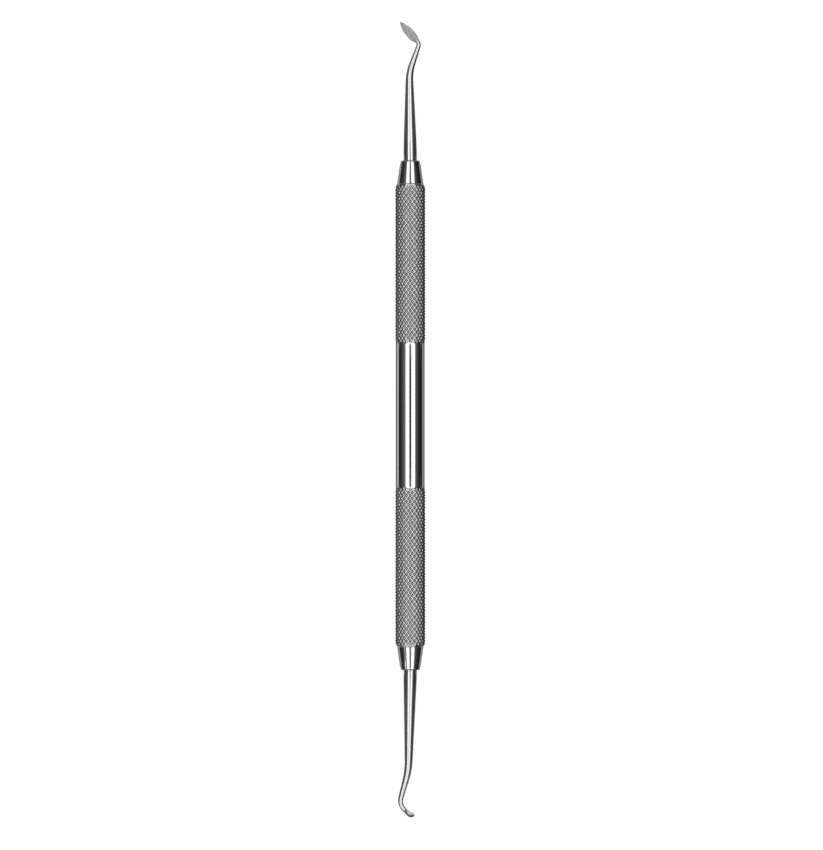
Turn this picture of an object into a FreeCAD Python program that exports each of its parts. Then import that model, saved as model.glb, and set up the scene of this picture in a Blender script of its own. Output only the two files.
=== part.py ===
import FreeCAD, Part
import math
import os

from FreeCAD import Vector

# A cleoid-discoid carver: a hand instrument turned from round bar, with a blade at each end.
# Millimetres. The handle's axis is Y, its middle is the origin, and the cleoid end points along +Y.
# It lies on its two knurled grips with +Z up, and both blades bend in the level XY plane.

# Handle, from the middle outwards
middle_grip_length = 31.1
middle_grip_diameter = 6.08
knurl_length = 33.1
knurl_diameter = 6.35
knurl_depth = 0.26
knurls_around = 24
knurls_along = 26
knurl_end_step = 0.04
knurl_bevel_length = 0.95
cone_length = 4.9
cone_large_diameter = 5.54
cone_small_diameter = 4.14
rim_radius = 0.42
rim_steps = 3

# Sockets in the handle's ends, and the tangs that are pressed into them
tang_diameter = 3.0
tang_length = 9.5
tang_chamfer = 0.3
tang_fit_clearance = 0.0
socket_spare_depth = 0.5

# Both shanks leave their sockets at this size. Turns are in degrees, to the right seen from above
shank_root_diameter = 2.8
taper_steps = 3
bend_chord_error = 0.01

# Cleoid end: shank, then a leaf-shaped blade with a point
cleoid_lean = -0.6
cleoid_shank_length = 16.65
cleoid_bend_radius = 11.2
cleoid_bend_turn = 19.7
cleoid_neck_length = 3.86
cleoid_elbow_radius = 1.0
cleoid_elbow_turn = -59.3
cleoid_neck_diameter = 0.9
cleoid_parallel_length = 2.7
cleoid_root_length = 0.9
cleoid_root_diameter = 0.45
cleoid_heel_overlap = 0.85
cleoid_blade_length = 6.45
cleoid_blade_width = 1.9
cleoid_blade_thickness = 0.82
cleoid_point_thickness = 0.16
cleoid_back_length = 2.2
cleoid_bevel_angle = 12.0
cleoid_face_tilt = 33.0

# Discoid end: shank, then a round disc with a rounded back
discoid_lean = -1.05
discoid_shank_length = 18.9
discoid_bend_radius = 18.3
discoid_bend_turn = -14.25
discoid_neck_length = 3.6
discoid_hook_radius = 2.5
discoid_hook_turn = 68.4
discoid_neck_diameter = 0.98
discoid_parallel_length = 1.25
discoid_root_length = 0.8
discoid_root_diameter = 0.3
disc_diameter = 2.6
disc_thickness = 0.8
disc_land = 0.14
disc_shoulder_diameter = 2.2
disc_shoulder_depth = 0.55
disc_back_diameter = 1.2
disc_reach = 1.0
disc_face_height = 0.2
disc_face_roll = 9.0
disc_pitch = 9.0

# Worked out from the sizes above
knurl_start = middle_grip_length / 2
knurl_end = knurl_start + knurl_length
handle_end = knurl_end + cone_length
knurl_step = 180.0 / knurls_around
stitch_tolerance = 0.00001


def direction(heading):
    """The unit vector of a heading in the XY plane, in degrees from +Y towards +X."""
    angle = math.radians(heading)
    return Vector(math.sin(angle), math.cos(angle), 0)


def lay_out(shape, point, heading):
    """A copy of a shape that was made along +Y from the origin, at a point and heading of the XY plane."""
    laid = shape.copy()
    laid.rotate(Vector(0, 0, 0), Vector(0, 0, 1), -heading)
    laid.translate(point)
    return laid


def round_section(radius, point, heading):
    """A circle across a shank, where its centre line passes a point at a heading."""
    circle = Part.Wire(Part.makeCircle(radius, Vector(0, 0, 0), Vector(0, 1, 0)))
    return lay_out(circle, point, heading)


def bend_stations(start, heading, bend_radius, turn):
    """The points and headings of a bend, in steps whose chords leave the arc by about the chord error."""
    step_angle = 2 * math.degrees(math.acos(1 - bend_chord_error / bend_radius))
    steps = max(1, round(abs(turn) / step_angle))
    side = math.copysign(90.0, turn)
    centre = start + direction(heading + side) * bend_radius
    stations = []
    for step in range(1, steps + 1):
        turned = heading + turn * step / steps
        stations.append((centre + direction(turned - side) * bend_radius, turned))
    return stations


def shank(lean, straight, bend_radius, bend_turn, neck, last_radius, last_turn, parallel):
    """A shank's centre line from its mouth at the origin: a straight, a bend, a neck and a last bend."""
    axis = direction(lean)
    stations = [(Vector(0, 0, 0), 0.0)]
    for step in range(taper_steps + 1):
        stations.append((axis * (parallel + (straight - parallel) * step / taper_steps), 0.0))
    stations += bend_stations(stations[-1][0], lean, bend_radius, bend_turn)
    point, heading = stations[-1]
    stations.append((point + direction(heading) * neck, heading))
    return stations + bend_stations(stations[-1][0], heading, last_radius, last_turn)


def stem(stations, neck_diameter, root_length, root_diameter):
    """A round shank along its stations: parallel up to the second one, then an even taper to the neck.

    It ends in a short cone, the root that holds the blade.
    """
    spans = [(far[0] - near[0]).Length for near, far in zip(stations[1:], stations[2:])]
    slope = (shank_root_diameter - neck_diameter) / 2 / sum(spans)
    radii = [shank_root_diameter / 2, shank_root_diameter / 2]
    for span in spans:
        radii.append(radii[-1] - slope * span)
    sections = [round_section(radius, point, heading) for radius, (point, heading) in zip(radii, stations)]
    point, heading = stations[-1]
    sections.append(round_section(root_diameter / 2, point + direction(heading) * root_length, heading))
    return Part.makeLoft(sections, True, True)


def tang():
    """The hidden end of a tip, pressed into the handle, with a lead chamfer at its foot."""
    radius = tang_diameter / 2
    foot = -tang_length
    outline = Part.makePolygon([
        Vector(0, 0, 0),
        Vector(radius, 0, 0),
        Vector(radius, foot + tang_chamfer, 0),
        Vector(radius - tang_chamfer, foot, 0),
        Vector(0, foot, 0),
        Vector(0, 0, 0),
    ])
    return Part.Face(outline).revolve(Vector(0, 0, 0), Vector(0, 1, 0), 360)


def leaf_outline(length, width, height):
    """A pointed leaf in a level plane: two arcs from its heel at the origin to its point along +Y."""
    heel = Vector(0, 0, height)
    point = Vector(0, length, height)
    right = Vector(width / 2, length / 2, height)
    left = Vector(-width / 2, length / 2, height)
    return Part.Wire([Part.Arc(heel, right, point).toShape(), Part.Arc(point, left, heel).toShape()])


def cleoid_blade():
    """The leaf: a flat face up, sides bevelled inwards below it, and a back that rises to the point."""
    inset = cleoid_blade_thickness * math.tan(math.radians(cleoid_bevel_angle))
    back_share = 1 - 2 * inset / cleoid_blade_width
    face = leaf_outline(cleoid_blade_length, cleoid_blade_width, 0)
    back = leaf_outline(cleoid_blade_length, cleoid_blade_width * back_share, -cleoid_blade_thickness)
    blank = Part.makeLoft([face, back], True, True)
    room = cleoid_blade_width
    wedge = Part.Face(Part.makePolygon([
        Vector(-room, -room, room),
        Vector(-room, cleoid_blade_length + room, room),
        Vector(-room, cleoid_blade_length, -cleoid_point_thickness),
        Vector(-room, cleoid_back_length, -cleoid_blade_thickness),
        Vector(-room, -room, -cleoid_blade_thickness),
        Vector(-room, -room, room),
    ])).extrude(Vector(2 * room, 0, 0))
    return blank.common(wedge)


def cleoid_tip():
    stations = shank(
        cleoid_lean, cleoid_shank_length, cleoid_bend_radius, cleoid_bend_turn, cleoid_neck_length,
        cleoid_elbow_radius, cleoid_elbow_turn, cleoid_parallel_length,
    )
    blade = cleoid_blade()
    blade.translate(Vector(0, -cleoid_heel_overlap, cleoid_blade_thickness / 2))
    blade.rotate(Vector(0, 0, 0), Vector(0, 1, 0), -cleoid_face_tilt)
    blade = lay_out(blade, *stations[-1])
    stalk = stem(stations, cleoid_neck_diameter, cleoid_root_length, cleoid_root_diameter)
    tip = tang().fuse([stalk, blade]).removeSplitter()
    tip.translate(Vector(0, handle_end, 0))
    return tip


def disc():
    """The disc about +Z: a flat round face up, a narrow land round it and a back bevelled in two steps."""
    outline = Part.makePolygon([
        Vector(0, 0, 0),
        Vector(disc_diameter / 2, 0, 0),
        Vector(disc_diameter / 2, 0, -disc_land),
        Vector(disc_shoulder_diameter / 2, 0, -disc_shoulder_depth),
        Vector(disc_back_diameter / 2, 0, -disc_thickness),
        Vector(0, 0, -disc_thickness),
        Vector(0, 0, 0),
    ])
    return Part.Face(outline).revolve(Vector(0, 0, 0), Vector(0, 0, 1), 360)


def discoid_tip():
    stations = shank(
        discoid_lean, discoid_shank_length, discoid_bend_radius, discoid_bend_turn, discoid_neck_length,
        discoid_hook_radius, discoid_hook_turn, discoid_parallel_length,
    )
    blade = disc()
    blade.translate(Vector(0, 0, disc_face_height))
    blade.rotate(Vector(0, 0, 0), Vector(0, 1, 0), 90 + disc_face_roll)
    blade.rotate(Vector(0, 0, 0), Vector(0, 0, 1), -disc_pitch)
    blade.translate(Vector(0, disc_reach, 0))
    blade = lay_out(blade, *stations[-1])
    stalk = stem(stations, discoid_neck_diameter, discoid_root_length, discoid_root_diameter)
    tip = tang().fuse([stalk, blade]).removeSplitter()
    tip.rotate(Vector(0, 0, 0), Vector(1, 0, 0), 180)
    tip.translate(Vector(0, -handle_end, 0))
    return tip


def knurl_vertex(row, column):
    """A corner of the knurl: peaks and pits alternate, and the two end rows lie on plain circles."""
    y = knurl_start + knurl_length * row / (2 * knurls_along)
    bevel_slope = (knurl_diameter - cone_large_diameter) / 2 / knurl_bevel_length
    limit = cone_large_diameter / 2 + knurl_end_step + bevel_slope * (knurl_end - y)
    if row == 0:
        radius = middle_grip_diameter / 2 - knurl_end_step
    elif (row + column) % 2 == 0:
        radius = min(knurl_diameter / 2, limit)
    else:
        radius = min(knurl_diameter / 2 - knurl_depth, limit)
    angle = math.radians(knurl_step * column)
    return Vector(radius * math.cos(angle), y, radius * math.sin(angle))


def knurl():
    """The diamond knurl of one grip: each peak is a four-sided pyramid between crossing grooves."""
    columns = 2 * knurls_around
    rows = 2 * knurls_along
    corners = [knurl_vertex(row, column) for row in range(rows + 1) for column in range(columns)]
    facets = []
    for row in range(rows):
        for column in range(columns):
            right = (column + 1) % columns
            near = row * columns + column
            near_right = row * columns + right
            far = near + columns
            far_right = near_right + columns
            if (row + column) % 2 == 0:
                facets.append((near, near_right, far))
                facets.append((near_right, far_right, far))
            else:
                facets.append((near, near_right, far_right))
                facets.append((near, far_right, far))
    grip = Part.Shape()
    grip.makeShapeFromMesh((corners, facets), stitch_tolerance)
    return grip.Faces


def ring(row, circle_radius):
    """The narrow flat step between an end row of the knurl and the round surface beside it."""
    corners = [knurl_vertex(row, column) for column in range(2 * knurls_around)]
    polygon = Part.makePolygon(corners + [corners[0]])
    circle = Part.Wire(Part.makeCircle(circle_radius, Vector(0, corners[0].y, 0), Vector(0, 1, 0)))
    if circle_radius > corners[0].distanceToPoint(Vector(0, corners[0].y, 0)):
        return Part.Face([circle, polygon])
    return Part.Face([polygon, circle])


def handle_end_faces():
    """One end of the handle: the blind socket, the flat end, the rounded rim and the cone."""
    socket_radius = tang_diameter / 2 + tang_fit_clearance
    socket_foot = handle_end - tang_length - socket_spare_depth
    rim_centre = Vector(cone_small_diameter / 2 - rim_radius, handle_end - rim_radius, 0)
    outline = [
        Vector(0, socket_foot, 0),
        Vector(socket_radius, socket_foot, 0),
        Vector(socket_radius, handle_end, 0),
    ]
    for step in range(rim_steps + 1):
        outline.append(rim_centre + direction(90.0 * step / rim_steps) * rim_radius)
    outline.append(Vector(cone_large_diameter / 2, knurl_end, 0))
    return Part.makePolygon(outline).revolve(Vector(0, 0, 0), Vector(0, 1, 0), 360).Faces


def handle():
    half = knurl() + handle_end_faces()
    half.append(ring(0, middle_grip_diameter / 2))
    half.append(ring(2 * knurls_along, cone_large_diameter / 2))
    other_half = [face.mirror(Vector(0, 0, 0), Vector(0, 1, 0)) for face in half]
    middle = Part.makeLine(
        Vector(middle_grip_diameter / 2, -knurl_start, 0),
        Vector(middle_grip_diameter / 2, knurl_start, 0),
    ).revolve(Vector(0, 0, 0), Vector(0, 1, 0), 360)
    skin = Part.makeShell(half + other_half + middle.Faces)
    skin.sewShape()
    solid = Part.makeSolid(skin.Shells[0])
    if solid.Volume < 0:
        solid.reverse()
    return solid


os.makedirs("parts", exist_ok=True)
PARTS = {"handle": handle, "cleoid_tip": cleoid_tip, "discoid_tip": discoid_tip}
for name, make in PARTS.items():
    shape = make()
    shape.exportStep(f"parts/{name}.step")
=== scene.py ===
import math

import bpy
import numpy as np
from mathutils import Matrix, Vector


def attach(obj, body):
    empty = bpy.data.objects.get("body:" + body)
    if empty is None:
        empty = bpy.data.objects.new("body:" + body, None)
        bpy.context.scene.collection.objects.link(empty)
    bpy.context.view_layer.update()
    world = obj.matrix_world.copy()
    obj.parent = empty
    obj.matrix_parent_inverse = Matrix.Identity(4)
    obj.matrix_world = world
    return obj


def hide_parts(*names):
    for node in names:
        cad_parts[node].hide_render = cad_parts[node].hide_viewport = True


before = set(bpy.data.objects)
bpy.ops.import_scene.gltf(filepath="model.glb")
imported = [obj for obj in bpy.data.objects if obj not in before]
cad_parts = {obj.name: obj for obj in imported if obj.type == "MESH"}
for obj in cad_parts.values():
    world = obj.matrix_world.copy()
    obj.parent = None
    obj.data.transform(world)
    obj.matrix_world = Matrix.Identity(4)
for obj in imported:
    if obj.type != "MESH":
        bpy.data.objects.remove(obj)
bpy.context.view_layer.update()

# A cleoid-discoid carver lying on white paper, seen from straight above. Sizes are millimetres, as
# in the part's source, and each piece is scaled to metres as it is made. The handle's axis is Y and
# its middle is the origin.

MM = 0.001

# Handle
middle_grip_length = 31.1
middle_grip_radius = 3.04
knurl_length = 33.1
knurl_radius = 3.175
knurl_depth = 0.26
knurls_around = 24
knurls_along = 26
knurl_end_step = 0.04
knurl_run_in = 0.45
knurl_bevel_length = 0.95
groove_floor = 0.16
crest_flat = 0.88
run_out_cuts = 2
cuts_per_half_knurl = 4
cone_length = 4.9
cone_large_radius = 2.77
cone_small_radius = 2.07
rim_radius = 0.42
socket_radius = 1.5
socket_depth = 10.0
socket_chamfer = 0.05

# Tips
tang_depth = 9.5
tang_chamfer = 0.3
shank_root_radius = 1.4

# Fineness of the meshes: points round a tip, cuts round a rim, rows along a cone as shares of its length,
# and along a shank the spacing of rows and the degrees between them in a bend
points_around = 64
rim_cuts = 10
cone_row_shares = (0.0, 0.01, 0.3, 0.6, 0.85)
shank_spacing = 0.9
neck_spacing = 0.8
shank_bend_step = 2.0
elbow_step = 6.0
hook_step = 3.0

knurl_start = middle_grip_length / 2
knurl_end = knurl_start + knurl_length
handle_end = knurl_end + cone_length
floor_height = -knurl_radius


# Meshes

def direction(heading):
    """The unit vector of a heading in the level plane, in degrees from +Y towards +X."""
    angle = math.radians(heading)
    return np.array([math.sin(angle), math.cos(angle), 0.0])


def smooth_step(value):
    value = np.clip(value, 0.0, 1.0)
    return value * value * (3 - 2 * value)


def skin(rows):
    """Points and faces of a closed skin over rows of points, with a fan over its first and last row."""
    count = len(rows[0])
    last_row = (len(rows) - 1) * count
    first_tip = len(rows) * count
    last_tip = first_tip + 1
    points = np.concatenate(rows + [[np.mean(rows[0], axis=0)], [np.mean(rows[-1], axis=0)]])
    following = [(column + 1) % count for column in range(count)]
    faces = []
    for start in range(0, last_row, count):
        above = start + count
        for column, beside in enumerate(following):
            faces.append((start + column, start + beside, above + beside, above + column))
    faces += [(first_tip, following[column], column) for column in range(count)]
    faces += [(last_tip, last_row + column, last_row + following[column]) for column in range(count)]
    return points, faces


def make_piece(name, points, faces, finishes, face_finish, sharp_angle, node):
    """A mesh piece in the CAD frame that stands for a CAD node.

    A sharp angle of 0 leaves all its edges soft.
    """
    mesh = bpy.data.meshes.new(name)
    mesh.from_pydata((points * MM).tolist(), [], faces)
    for finish in finishes:
        mesh.materials.append(finish)
    mesh.polygons.foreach_set("material_index", np.array(face_finish, np.int32))
    mesh.polygons.foreach_set("use_smooth", np.ones(len(faces), bool))
    if sharp_angle:
        mesh.set_sharp_from_angle(angle=math.radians(sharp_angle))
    mesh.validate()
    mesh.update()
    piece = bpy.data.objects.new(name, mesh)
    bpy.context.scene.collection.objects.link(piece)
    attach(piece, "root")
    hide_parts(node)


# Materials

class Shade:
    """A socket's value, so that sums and products of values can be written as they are."""

    def __init__(self, finish, socket):
        self.finish = finish
        self.socket = socket

    def maths(self, operation, first, second):
        return self.finish.node("ShaderNodeMath", {"operation": operation}, {0: first, 1: second})

    def __add__(self, other):
        return self.maths("ADD", self, other)

    __radd__ = __add__

    def __mul__(self, other):
        return self.maths("MULTIPLY", self, other)

    __rmul__ = __mul__

    def __pow__(self, other):
        return self.maths("POWER", self, other)

    def beside(self, name):
        """Another output of the same node."""
        return Shade(self.finish, self.socket.node.outputs[name])


class Finish:
    """The nodes of a material or of the world."""

    def __init__(self, owner):
        owner.use_nodes = True
        self.tree = owner.node_tree
        self.tree.nodes.clear()

    def node(self, kind, settings, sockets, output=0):
        made = self.tree.nodes.new(kind)
        for setting, value in settings.items():
            if setting == "stops":
                self.set_stops(made.color_ramp.elements, value)
            else:
                setattr(made, setting, value)
        for name, value in sockets.items():
            if isinstance(value, Shade):
                self.tree.links.new(value.socket, made.inputs[name])
            else:
                made.inputs[name].default_value = value
        if made.outputs:
            return Shade(self, made.outputs[output])

    def set_stops(self, elements, stops):
        """Sets a ramp's grey levels by position."""
        while len(elements) < len(stops):
            elements.new(1.0)
        for element, (position, level) in zip(elements, stops):
            element.position = position
            element.color = grey(level)

    def noise(self, vector, scale, detail):
        sockets = {"Vector": vector, "Scale": scale, "Detail": detail}
        return self.node("ShaderNodeTexNoise", {}, sockets, "Fac")

    def tint(self, share, dark, light):
        """A grey between two levels."""
        settings = {"data_type": "RGBA"}
        return self.node("ShaderNodeMix", settings, {0: share, 6: grey(dark), 7: grey(light)}, 2)

    def shaded(self, colour, other):
        """One colour darkened by another."""
        settings = {"data_type": "RGBA", "blend_type": "MULTIPLY"}
        return self.node("ShaderNodeMix", settings, {0: 1.0, 6: colour, 7: other}, 2)

    def metal(self, colour, metallic, roughness, marks, marks_depth):
        """Metal with marks of a given depth in millimetres."""
        sockets = {"Height": marks, "Strength": 1.0, "Distance": marks_depth * MM}
        bump = self.node("ShaderNodeBump", {}, sockets)
        surface = self.node("ShaderNodeBsdfPrincipled", {}, {
            "Base Color": colour,
            "Metallic": metallic,
            "Roughness": roughness,
            "Normal": bump,
        })
        self.node("ShaderNodeOutputMaterial", {}, {"Surface": surface})


def grey(level):
    return (level, level, level, 1.0)


def new_finish(name):
    material = bpy.data.materials.new(name)
    return material, Finish(material)


def object_place(finish):
    return finish.node("ShaderNodeTexCoord", {}, {}, "Object")


def steel(name, dark, light, cloud_scale, metallic, roughness, marks_scale, marks_depth):
    """Worked stainless steel. Its tone drifts in soft clouds, and its marks have a scale along each axis.

    Two roughnesses stand for a shank's root and neck.
    """
    material, finish = new_finish(name)
    place = object_place(finish)
    clouds = finish.noise(place, cloud_scale, cloud_detail)
    settings = {"operation": "MULTIPLY"}
    stretched = finish.node("ShaderNodeVectorMath", settings, {0: place, 1: marks_scale})
    marks = finish.noise(stretched, 1.0, marks_detail)
    if isinstance(roughness, tuple):
        roughness = roughness_along(finish, place, *roughness)
    uneven = marks * roughness * unevenness + roughness * (1 - unevenness / 2)
    finish.metal(finish.tint(clouds, dark, light), metallic, uneven, marks, marks_depth)
    return material


def roughness_along(finish, place, at_root, at_neck):
    """A roughness that rises from a shank's root to its neck."""
    along = finish.node("ShaderNodeSeparateXYZ", {}, {0: place}).beside("Y")
    distance = finish.node("ShaderNodeMath", {"operation": "ABSOLUTE"}, {0: along})
    return finish.node("ShaderNodeMapRange", {"clamp": True}, {
        "Value": distance,
        "From Min": dulling_start * MM,
        "From Max": dulling_end * MM,
        "To Min": at_root,
        "To Max": at_neck,
    })


def steel_with_knurl(name, roughness):
    """Knurled steel: duller in its grooves and polished on its crests. Its grey has painted shade on the
    grooves' sides and a painted highlight along their floors, and its crests are lighter, partly for wear
    and partly as a painted highlight.
    """
    material, finish = new_finish(name)
    place = object_place(finish)
    across = finish.node("ShaderNodeSeparateXYZ", {}, {0: place})
    up = across.beside("Z")
    radius = (across * across + up * up) ** 0.5
    height = finish.node("ShaderNodeMapRange", {"clamp": True}, {
        "Value": radius,
        "From Min": (knurl_radius - knurl_depth) * MM,
        "From Max": knurl_radius * MM,
    })
    # Painted light by height in the knurl: painted highlights on groove floors and crests (crests also
    # wear), painted shade on groove sides
    wear_and_painted_light = finish.node("ShaderNodeValToRGB", {"stops": knurl_wear_and_painted_light_tones}, {0: height})
    clouds = finish.tint(finish.noise(place, knurl_cloud_scale, cloud_detail), *knurl_cloud_levels)
    marks = finish.noise(place, knurl_marks_scale, marks_detail)
    uneven = marks * knurl_unevenness + height * -crest_polish + roughness
    finish.metal(finish.shaded(wear_and_painted_light, clouds), 1.0, uneven, marks, knurl_marks_depth)
    return material


cloud_detail = 4.0
marks_detail = 3.0
unevenness = 0.4

# A shank grows duller over this stretch, in distance from the middle of the handle
dulling_start = 55.0
dulling_end = 64.0

# Grey levels from the foot of a groove to a crest: a painted highlight along the groove's floor, painted
# shade on its sides, and a crest lighter partly for wear and partly as a painted highlight
knurl_wear_and_painted_light_tones = [(0.0, 0.46), (0.1, 0.34), (0.25, 0.26), (0.85, 0.34), (1.0, 0.50)]
knurl_cloud_scale = 700.0
knurl_cloud_levels = (0.85, 1.15)
knurl_marks_scale = 6000.0
knurl_marks_depth = 0.0012
knurl_unevenness = 0.08
crest_polish = 0.05

# Marks run round the turned handle, along the polished shanks and every way on the ground blades
turned_steel = steel(
    "turned steel", dark=0.50, light=0.55, cloud_scale=420.0, metallic=1.0, roughness=0.07,
    marks_scale=(40, 9000, 40), marks_depth=0.0004,
)
knurled_steel = steel_with_knurl("knurled steel", roughness=0.16)
shank_steel = steel(
    "polished shank steel", dark=0.46, light=0.52, cloud_scale=420.0, metallic=0.95, roughness=(0.10, 0.20),
    marks_scale=(4000, 300, 4000), marks_depth=0.0003,
)
leaf_steel = steel(
    "ground leaf steel", dark=0.22, light=0.88, cloud_scale=1300.0, metallic=1.0, roughness=0.46,
    marks_scale=(2500, 2500, 2500), marks_depth=0.003,
)
disc_steel = steel(
    "ground disc steel", dark=0.44, light=0.56, cloud_scale=900.0, metallic=1.0, roughness=0.36,
    marks_scale=(3000, 3000, 3000), marks_depth=0.0015,
)


# Handle

def turned_row(y, radius):
    """A plain turned row: its place along the handle, its radii and which of them are turned smooth."""
    columns = 2 * knurls_around * cuts_per_half_knurl
    return y, np.full(columns, float(radius)), np.ones(columns, bool)


def knurl_rows():
    """The rows of one knurled grip, from its inner to its outer end.

    Its crests are turned down along a short slope at both ends, where they are smooth, and its grooves
    run out a little way onto the middle grip.
    """
    columns = np.arange(2 * knurls_around * cuts_per_half_knurl) / cuts_per_half_knurl
    bevel_slope = (knurl_radius - cone_large_radius) / knurl_bevel_length
    run_in_slope = (knurl_radius - middle_grip_radius + knurl_end_step) / knurl_run_in
    rows = []
    for cut in range(1 - run_out_cuts, 2 * knurls_along * cuts_per_half_knurl + 1):
        row = cut / cuts_per_half_knurl
        y = knurl_start + knurl_length * row / (2 * knurls_along)
        one_way = np.abs((row + columns) / 2 % 1 - 0.5)
        other_way = np.abs((row - columns) / 2 % 1 - 0.5)
        height = 2 * np.minimum(one_way, other_way)
        height = np.clip((height - groove_floor) / (crest_flat - groove_floor), 0, 1)
        radius = knurl_radius - knurl_depth * (1 - height)
        bevel = cone_large_radius + knurl_end_step + bevel_slope * (knurl_end - y)
        run_in = middle_grip_radius - knurl_end_step + run_in_slope * (y - knurl_start)
        limit = min(bevel, run_in) if cut > 0 else middle_grip_radius
        rows.append((y, np.minimum(radius, limit), radius >= limit))
    return rows


def handle_half():
    """Rows from the middle of the handle to the foot of its socket.

    The numbers of the first and the last row of the knurl come with them.
    """
    last_band = 0.3
    socket_floor_ring = 0.9 * socket_radius
    grip_end = knurl_start - run_out_cuts * knurl_length / (2 * knurls_along * cuts_per_half_knurl)
    rows = [turned_row(y, middle_grip_radius) for y in (0.0, grip_end - last_band, grip_end)]
    first_knurl_row = len(rows) - 1
    rows += knurl_rows()
    last_knurl_row = len(rows) - 1
    cone_slope = (cone_large_radius - cone_small_radius) / cone_length
    for share in cone_row_shares:
        along = share * (cone_length - rim_radius)
        rows.append(turned_row(knurl_end + along, cone_large_radius - cone_slope * along))
    for cut in range(rim_cuts + 1):
        angle = math.radians(90.0 * cut / rim_cuts)
        y = handle_end - rim_radius + rim_radius * math.sin(angle)
        rows.append(turned_row(y, cone_small_radius - rim_radius + rim_radius * math.cos(angle)))
    rows.append(turned_row(handle_end, socket_radius + socket_chamfer))
    rows.append(turned_row(handle_end - socket_chamfer, socket_radius))
    rows.append(turned_row(handle_end - socket_depth, socket_radius))
    rows.append(turned_row(handle_end - socket_depth, socket_floor_ring))
    return rows, first_knurl_row, last_knurl_row


def handle_points(y, radius):
    angles = np.arange(len(radius)) * 2 * math.pi / len(radius)
    return np.stack([radius * np.cos(angles), np.full(len(radius), y), radius * np.sin(angles)], axis=1)


def build_handle():
    half, first_knurl_row, last_knurl_row = handle_half()
    rows = [(-y, radius, smooth) for y, radius, smooth in reversed(half[1:])] + half
    middle = len(half) - 1
    count = len(half[0][1])
    points, quads = skin([handle_points(y, radius) for y, radius, smooth in rows])
    smooth = np.concatenate([smooth for y, radius, smooth in rows] + [[True, True]])
    faces = []
    for index, face in enumerate(quads):
        row, column = divmod(index, count)
        from_middle = row - middle if row >= middle else middle - row - 1
        if len(face) == 3 or not first_knurl_row <= from_middle < last_knurl_row:
            faces.append(face)
            continue
        cut = from_middle - first_knurl_row - run_out_cuts
        cell = cut // cuts_per_half_knurl + column // cuts_per_half_knurl
        near, near_next, far_next, far = face
        if (cell % 2 == 0) == (row >= middle):
            faces += [(near, near_next, far), (near_next, far_next, far)]
        else:
            faces += [(near, near_next, far_next), (near, far_next, far)]
    finishes = [turned_steel, knurled_steel]
    face_finish = [0 if all(smooth[list(face)]) else 1 for face in faces]
    make_piece("handle_bar", points, faces, finishes, face_finish, 0, "handle")


# Tips

def bend(stations, radius, turn, step):
    """Adds the points and headings of a bend to a centre line."""
    start, heading = stations[-1]
    side = math.copysign(90.0, turn)
    centre = start + direction(heading + side) * radius
    steps = max(2, round(abs(turn) / step))
    for index in range(1, steps + 1):
        turned = heading + turn * index / steps
        stations.append((centre + direction(turned - side) * radius, turned))


def run(stations, length, spacing):
    """Adds a straight stretch to a centre line."""
    start, heading = stations[-1]
    steps = max(1, round(length / spacing))
    for index in range(1, steps + 1):
        stations.append((start + direction(heading) * length * index / steps, heading))


def put_across(section, point, heading, tilt):
    """Puts a flat section (across, up) across the centre line, turned about it by a tilt in degrees."""
    right = direction(heading + 90.0)
    up = np.array([0.0, 0.0, 1.0])
    angle = math.radians(tilt)
    across_axis = right * math.cos(angle) - up * math.sin(angle)
    up_axis = right * math.sin(angle) + up * math.cos(angle)
    return point + np.outer(section[:, 0], across_axis) + np.outer(section[:, 1], up_axis)


def oval(half_width, half_height):
    """A round or oval section.

    Its first quarter of points, clockwise from the upper left, becomes a blade's face.
    """
    angles = np.radians(135.0 - np.arange(points_around) * 360.0 / points_around)
    return np.stack([half_width * np.cos(angles), half_height * np.sin(angles)], axis=1)


def four_sided(top_half, top, low_half, low):
    """A section with a flat face up: a quarter of the points to each side, from the face's left corner."""
    corners = np.array([[-top_half, top], [top_half, top], [low_half, low], [-low_half, low]])
    quarter = points_around // 4
    share = (np.arange(quarter) / quarter)[:, None]
    sides = [corners[side] * (1 - share) + corners[(side + 1) % 4] * share for side in range(4)]
    return np.concatenate(sides)


def round_section(radius, left):
    """The section of a shank that stays round, whatever is left of its length."""
    return oval(radius, radius)


def shank_rows(stations, neck_radius, parallel, tilt, section_at):
    """Rows along a shank that stays parallel at its root and then tapers evenly to the neck.

    section_at gives the section for a radius and the length of shank that is left.
    """
    travelled = [0.0]
    for near, far in zip(stations, stations[1:]):
        travelled.append(travelled[-1] + float(np.linalg.norm(far[0] - near[0])))
    slope = (shank_root_radius - neck_radius) / (travelled[-1] - parallel)
    rows = []
    for distance, (point, heading) in zip(travelled, stations):
        ease = min(distance, 2 * parallel)
        fall = slope * (ease * ease / (4 * parallel) + max(0.0, distance - 2 * parallel))
        section = section_at(shank_root_radius - fall, travelled[-1] - distance)
        rows.append(put_across(section, point, heading, tilt))
    return rows


def tang_rows(tilt):
    """The hidden tang, from its foot to the shoulder that lies flush in the handle's end."""
    profile = [
        (-tang_depth, socket_radius - tang_chamfer),
        (-tang_depth + tang_chamfer, socket_radius),
        (-socket_chamfer, socket_radius),
        (0.0, socket_radius - socket_chamfer),
    ]
    rows = []
    for y, radius in profile:
        rows.append(put_across(oval(radius, radius), np.array([0.0, y, 0.0]), 0.0, tilt))
    return rows


def finish_tip(name, rows, shank_row_count, far_end, blade_finish, node):
    """Makes a tip from its rows, at the +Y end of the handle or turned over to the other end."""
    edge_angle = 32
    points, faces = skin(rows)
    if far_end:
        points = points + np.array([0.0, handle_end, 0.0])
    else:
        points = points * np.array([1.0, -1.0, -1.0]) - np.array([0.0, handle_end, 0.0])
    count = len(rows[0])
    quads = (len(rows) - 1) * count
    shank_quads = shank_row_count * count
    face_finish = np.ones(len(faces), int)
    face_finish[:shank_quads] = 0
    face_finish[quads:quads + count] = 0
    finishes = [shank_steel, blade_finish]
    make_piece(name, points, faces, finishes, face_finish, edge_angle, node)


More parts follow.
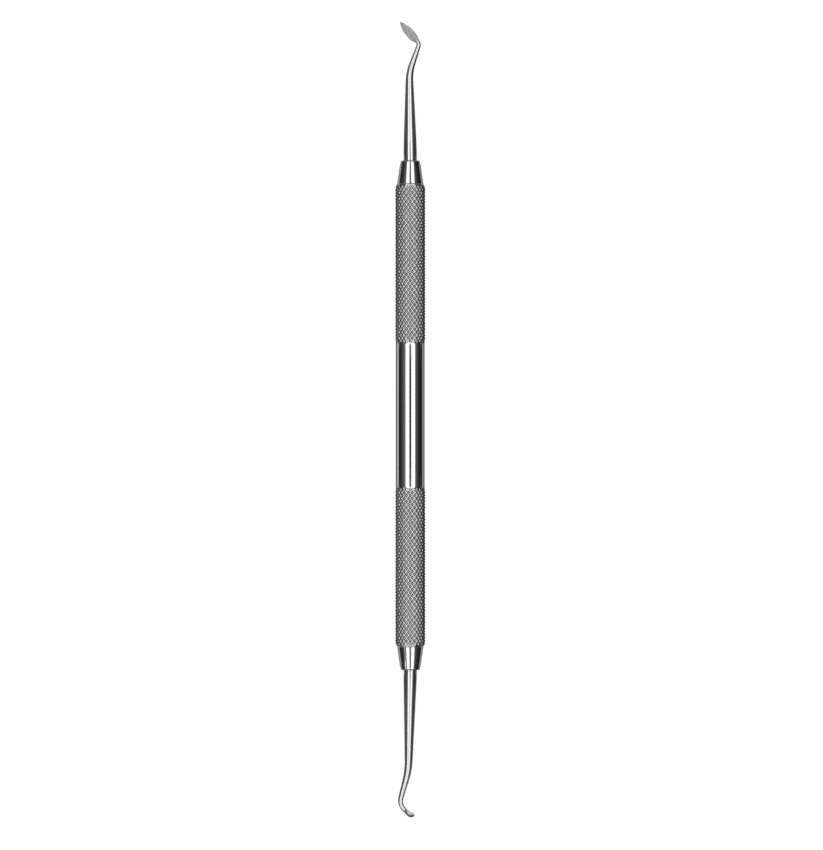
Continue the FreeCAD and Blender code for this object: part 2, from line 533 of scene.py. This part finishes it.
def build_cleoid_tip():
    tilt = -33.0
    lean = -0.6
    shank_length = 16.65
    parallel_length = 2.7
    bend_radius = 11.2
    bend_turn = 19.7
    neck_length = 3.86
    elbow_radius = 1.0
    elbow_turn = -59.3
    neck_radius = 0.45
    blade_length = 6.45
    blade_width = 1.9
    thickness = 0.82
    point_thickness = 0.16
    back_length = 2.2
    heel_overlap = 0.85
    bevel = math.tan(math.radians(12.0))
    blend_length = 0.9
    blend_rows = 16
    plain_rows = 34
    last_row_gap = 0.05
    stations = [(np.zeros(3), lean)]
    run(stations, shank_length, shank_spacing)
    bend(stations, bend_radius, bend_turn, shank_bend_step)
    run(stations, neck_length, neck_spacing)
    bend(stations, elbow_radius, elbow_turn, elbow_step)
    rows = tang_rows(tilt)
    rows += shank_rows(stations, neck_radius, parallel_length, tilt, round_section)
    shank_row_count = len(rows) - 1
    elbow, heading = stations[-1]

    def leaf_half(along, width):
        """Half the width of a leaf between two arcs, at a distance from its heel."""
        arc = ((blade_length / 2) ** 2 + (width / 2) ** 2) / width
        return math.sqrt(arc ** 2 - (along - blade_length / 2) ** 2) - (arc - width / 2)

    blended = np.linspace(heel_overlap, heel_overlap + blend_length, blend_rows)[1:]
    plain = np.linspace(heel_overlap + blend_length, blade_length - last_row_gap, plain_rows)[1:]
    for along in np.concatenate([blended, plain]):
        rise = max(0.0, (along - back_length) / (blade_length - back_length))
        depth = thickness + (point_thickness - thickness) * rise
        half = leaf_half(along, blade_width)
        back_half = leaf_half(along, blade_width - 2 * bevel * thickness)
        low_half = half + (back_half - half) * depth / thickness
        leaf = four_sided(half, thickness / 2, low_half, thickness / 2 - depth)
        share = smooth_step((along - heel_overlap) / blend_length)
        section = oval(half, neck_radius) * (1 - share) + leaf * share
        rows.append(put_across(section, elbow + direction(heading) * (along - heel_overlap), heading, tilt))
    finish_tip("cleoid_tip_steel", rows, shank_row_count, True, leaf_steel, "cleoid_tip")


def build_discoid_tip():
    tilt = 99.0
    lean = -1.05
    shank_length = 18.9
    parallel_length = 1.25
    bend_radius = 18.3
    bend_turn = -14.25
    neck_length = 3.6
    hook_radius = 2.5
    hook_turn = 68.4
    neck_radius = 0.49
    disc_radius = 1.26
    thickness = 0.8
    land = 0.14
    back_roundness = 2.6
    reach = 1.0
    face_height = 0.2
    pitch = 9.0
    blend_start = 0.43
    blend_length = 0.9
    slow_blend_length = 1.7
    near_rows = 16
    far_rows = 24
    last_row_angle = math.pi / 2 - 0.03
    first_chord = 0.02
    quarter = points_around // 4

    def disc_section(along):
        """The disc cut across, at a distance beyond the hook: a flat face up over a round back."""
        half = math.sqrt(disc_radius ** 2 - (along - reach) ** 2)
        face_across = np.linspace(-half, half, quarter, endpoint=False)
        face = np.stack([face_across, np.full(quarter, face_height)], axis=1)
        across = half * np.cos(np.linspace(0, math.pi, points_around - quarter))
        off_centre = np.clip((across ** 2 + (along - reach) ** 2) / disc_radius ** 2, 0, 1)
        depth = land + (thickness - land) * (1 - off_centre ** back_roundness)
        neck_share = np.clip(1 - along / reach, 0, 1)
        neck_arch = np.sqrt(1 - np.clip(across / half, -1, 1) ** 2)
        neck_depth = (neck_radius + face_height) * neck_share * neck_arch
        depth = np.maximum(depth, neck_depth)
        depth[0] = 0.0
        return np.concatenate([face, np.stack([across, face_height - depth], axis=1)])

    def blended(radius, along):
        """The round neck's section, turning into the disc's around the end of the hook."""
        share = smooth_step((along + blend_start) / blend_length)
        if share == 0:
            return oval(radius, radius)
        disc = disc_section(max(along, first_chord + reach - disc_radius))
        shares = np.array([share, smooth_step((along + blend_start) / slow_blend_length)])
        return oval(radius, radius) * (1 - shares) + disc * shares

    def section_before(radius, left):
        return blended(radius, -left)

    stations = [(np.zeros(3), lean)]
    run(stations, shank_length, shank_spacing)
    bend(stations, bend_radius, bend_turn, shank_bend_step)
    run(stations, neck_length, neck_spacing)
    bend(stations, hook_radius, hook_turn, hook_step)
    rows = tang_rows(tilt)
    rows += shank_rows(stations, neck_radius, parallel_length, tilt, section_before)
    shank_row_count = len(rows) - 2
    hook, heading = stations[-1]
    disc_centre = hook + direction(heading) * reach
    near_part = np.linspace(0.0, reach, near_rows)[1:]
    far_part = reach + disc_radius * np.sin(np.linspace(0.0, last_row_angle, far_rows))[1:]
    for along in np.concatenate([near_part, far_part]):
        share = smooth_step(along / disc_radius)
        on_shank_line = hook + direction(heading) * along
        on_disc = disc_centre + direction(heading + pitch) * (along - reach)
        point = on_shank_line * (1 - share) + on_disc * share
        rows.append(put_across(blended(neck_radius, along), point, heading + pitch * share, tilt))
    finish_tip("discoid_tip_steel", rows, shank_row_count, False, disc_steel, "discoid_tip")


build_handle()
build_cleoid_tip()
build_discoid_tip()


# Studio

def level_sheet(name, left, right, near, far, height, material):
    corners = [(left, near, height), (right, near, height), (right, far, height), (left, far, height)]
    mesh = bpy.data.meshes.new(name)
    mesh.from_pydata([Vector(corner) * MM for corner in corners], [], [(0, 1, 2, 3)])
    mesh.materials.append(material)
    sheet = bpy.data.objects.new(name, mesh)
    bpy.context.scene.collection.objects.link(sheet)
    return sheet


def white_paper():
    """Pale paper that keeps the object's shadow, and that the camera and reflections see as white."""
    material, finish = new_finish("white paper")
    rays = finish.node("ShaderNodeLightPath", {}, {})
    seen = rays.beside("Is Camera Ray") + rays.beside("Is Glossy Ray")
    seen = seen + rays.beside("Is Transmission Ray")
    paper = finish.node("ShaderNodeBsdfDiffuse", {}, {"Color": grey(0.35)})
    glow = finish.node("ShaderNodeEmission", {}, {"Color": grey(0.8), "Strength": 1.0})
    bright_paper = finish.node("ShaderNodeAddShader", {}, {0: paper, 1: glow})
    surface = finish.node("ShaderNodeMixShader", {}, {0: seen, 1: paper, 2: bright_paper})
    finish.node("ShaderNodeOutputMaterial", {}, {"Surface": surface})
    return material


def painted_reflection_card(name, left, right, near, far, level, lift):
    """A card on the paper that only reflections see, so that the steel shows dark beside light: a painted
    reflection that glows or stays dark and casts no light or shadow.
    """
    material, finish = new_finish(name)
    glow = finish.node("ShaderNodeEmission", {}, {"Color": grey(level), "Strength": 1.0})
    finish.node("ShaderNodeOutputMaterial", {}, {"Surface": glow})
    card = level_sheet(name, left, right, near, far, floor_height + lift, material)
    card.visible_camera = False
    card.visible_diffuse = False
    card.visible_shadow = False
    card.visible_transmission = False


def end_cards(part, left, right, near, far, level, lift):
    """The same card at both ends, from near to far in distance from the middle of the handle."""
    painted_reflection_card(f"cleoid_{part}", left, right, near, far, level, lift)
    painted_reflection_card(f"discoid_{part}", left, right, -far, -near, level, lift)


paper_reach = 3000.0
level_sheet("paper", -paper_reach, paper_reach, -paper_reach, paper_reach, floor_height, white_paper())

# How far above the paper the cards lie, and where each part's cards end, from the middle of the handle
low_lift = 0.02
high_lift = 0.04
top_lift = 0.06
grip_cards = 15.4
knurl_cards = 48.7
cone_cards = 55.0
shank_root_cards = 60.0
cleoid_shank_cards = 77.0
discoid_shank_cards = 79.0
tip_cards = 300.0

# Cards beside each part, painted reflections of lit paper, of the paper's shade beside the object and of
# dark surroundings. Steel that leans to one side reflects them, so each tone is a band along it.
painted_reflection_card("grip_left_near", -7, -1, -grip_cards, grip_cards, 0.04, low_lift)
painted_reflection_card("grip_right_near", 1, 7, -grip_cards, grip_cards, 0.33, low_lift)
painted_reflection_card("grip_left_middle", -18.5, -7, -grip_cards, grip_cards, 0.75, low_lift)
painted_reflection_card("grip_right_middle", 7, 18.5, -grip_cards, grip_cards, 0.37, low_lift)
painted_reflection_card("grip_left_far", -paper_reach, -18.5, -grip_cards, grip_cards, 0.025, low_lift)
painted_reflection_card("grip_right_far", 18.5, paper_reach, -grip_cards, grip_cards, 0.010, low_lift)
end_cards("cone_near", -5, 5, knurl_cards, cone_cards, 0.30, low_lift)
end_cards("cone_left_middle", -12.5, -5, knurl_cards, cone_cards, 0.50, low_lift)
end_cards("cone_right_middle", 5, 12.5, knurl_cards, cone_cards, 0.42, low_lift)
end_cards("cone_left_far", -paper_reach, -12.5, knurl_cards, shank_root_cards, 0.03, low_lift)
end_cards("cone_right_far", 12.5, paper_reach, knurl_cards, shank_root_cards, 0.013, low_lift)
end_cards("knurl_near", -6.2, 6.2, grip_cards, knurl_cards, 0.02, low_lift)
end_cards("knurl_left_middle", -15, -6.2, grip_cards, knurl_cards, 0.55, low_lift)
end_cards("knurl_right_middle", 6.2, 15, grip_cards, knurl_cards, 0.30, low_lift)
end_cards("knurl_left_far", -paper_reach, -15, grip_cards, knurl_cards, 0.15, low_lift)
end_cards("knurl_right_far", 15, paper_reach, grip_cards, knurl_cards, 0.18, low_lift)
end_cards("shank_root_left", -12.5, 0, cone_cards, shank_root_cards, 0.19, high_lift)
end_cards("shank_root_right", 0, 12.5, cone_cards, shank_root_cards, 0.12, high_lift)
painted_reflection_card("cleoid_shank_left", -30, 0, shank_root_cards, cleoid_shank_cards, 0.20, high_lift)
painted_reflection_card("cleoid_shank_right", 0, 30, shank_root_cards, cleoid_shank_cards, 0.13, high_lift)
painted_reflection_card("discoid_shank_left", -30, 0, -discoid_shank_cards, -shank_root_cards, 0.20, high_lift)
painted_reflection_card("discoid_shank_right", 0, 30, -discoid_shank_cards, -shank_root_cards, 0.13, high_lift)
end_cards("tip_left_far", -paper_reach, -30, shank_root_cards, tip_cards, 0.03, low_lift)
end_cards("tip_right_far", 30, paper_reach, shank_root_cards, tip_cards, 0.013, low_lift)

# Cards that the two blades reflect: painted reflections
painted_reflection_card("leaf_card", -15, 15, 77, 110, 0.42, high_lift)
painted_reflection_card("hook_card", -15, -3.3, -90, -79, 0.12, high_lift)
painted_reflection_card("disc_face_card", -1.6, 0.8, -83.6, -80.5, 1.2, high_lift)
painted_reflection_card("disc_end_card", 0.8, 8.0, -85.0, -82.6, 0.15, top_lift)
painted_reflection_card("disc_card", -15, 30, -130, -85.6, 0.03, high_lift)


def soft_box(name, stand, aim, width, height, radiance):
    """An even lamp of a given brightness, where 1 shows as white."""
    lamp = bpy.data.lights.new(name, "AREA")
    lamp.shape = "RECTANGLE"
    lamp.size = width
    lamp.size_y = height
    lamp.energy = radiance * math.pi * width * height
    box = bpy.data.objects.new(name, lamp)
    box.location = stand
    box.rotation_euler = (Vector(aim) - Vector(stand)).to_track_quat("-Z", "Y").to_euler()
    box.visible_camera = False
    bpy.context.scene.collection.objects.link(box)


def overhead_lamp(name, left, right, near, far, radiance):
    """A lamp overhead, from left to right in degrees off the vertical and from near to far in metres."""
    left_edge, right_edge = (lamp_height * math.tan(math.radians(angle)) for angle in (left, right))
    middle = ((left_edge + right_edge) / 2, (near + far) / 2)
    soft_box(name, (*middle, lamp_height), (*middle, 0.0), right_edge - left_edge, far - near, radiance)


def gap_lamp(name, near, far, radiance):
    """A lamp that bridges the gap between the two overhead lamps."""
    overhead_lamp(name, -gap_edge, gap_edge, near, far, radiance)


# Two lamps overhead with a dark gap between them, bridged where the knurls and the shanks reflect it
lamp_height = 0.55
lamp_reach = 0.7
gap_edge = 8.2
overhead_lamp("left_overhead", -37.5, -gap_edge, -lamp_reach, lamp_reach, 2.0)
overhead_lamp("right_overhead", gap_edge, 38.5, -lamp_reach, lamp_reach, 2.0)
gap_lamp("cleoid_knurl_overhead", 0.026, 0.076, 1.2)
gap_lamp("discoid_knurl_overhead", -0.076, -0.026, 1.2)
gap_lamp("cleoid_shank_overhead", 0.135, 0.165, 2.0)
gap_lamp("discoid_shank_overhead", -0.163, -0.130, 2.0)
soft_box("leaf_lamp", (-0.35, -0.30, 0.21), (0.0, 0.08, 0.0), 0.22, 0.22, 1.0)

# Dark walls, lighter towards the lamps and on the left
world = bpy.data.worlds.new("studio")
bpy.context.scene.world = world
studio = Finish(world)
toward = studio.node("ShaderNodeTexCoord", {}, {}, "Generated")
across = studio.node("ShaderNodeSeparateXYZ", {}, {0: toward})
wall_tones = [
    (0.0, 0.027), (0.25, 0.05), (0.41, 0.095), (0.55, 0.15), (0.68, 0.26), (0.97, 0.20), (0.996, 0.03),
]
walls = studio.node("ShaderNodeValToRGB", {"stops": wall_tones}, {0: across.beside("Z")})
backdrop = studio.node("ShaderNodeBackground", {}, {"Color": walls, "Strength": across * -0.2 + 0.87})
studio.node("ShaderNodeOutputWorld", {}, {"Surface": backdrop})

# Camera straight above, framed as the photo, in whose pixels the handle's middle is given
pixel = 0.2103 * MM
photo_width = 823
photo_height = 850
handle_middle_column = 410.3
handle_middle_row = 415.35
frame_height = photo_height * pixel
camera_data = bpy.data.cameras.new("camera")
camera_data.lens = 200.0
camera_data.sensor_fit = "VERTICAL"
camera_data.sensor_height = 36.0
camera_data.clip_start = 0.01
camera_data.clip_end = 20.0
camera = bpy.data.objects.new("camera", camera_data)
camera_height = frame_height * camera_data.lens / camera_data.sensor_height
camera_x = (photo_width / 2 - handle_middle_column) * pixel
camera_y = (handle_middle_row - photo_height / 2) * pixel
camera.location = (camera_x, camera_y, camera_height)
bpy.context.scene.collection.objects.link(camera)
bpy.context.scene.camera = camera

bpy.context.scene.view_settings.view_transform = "Standard"
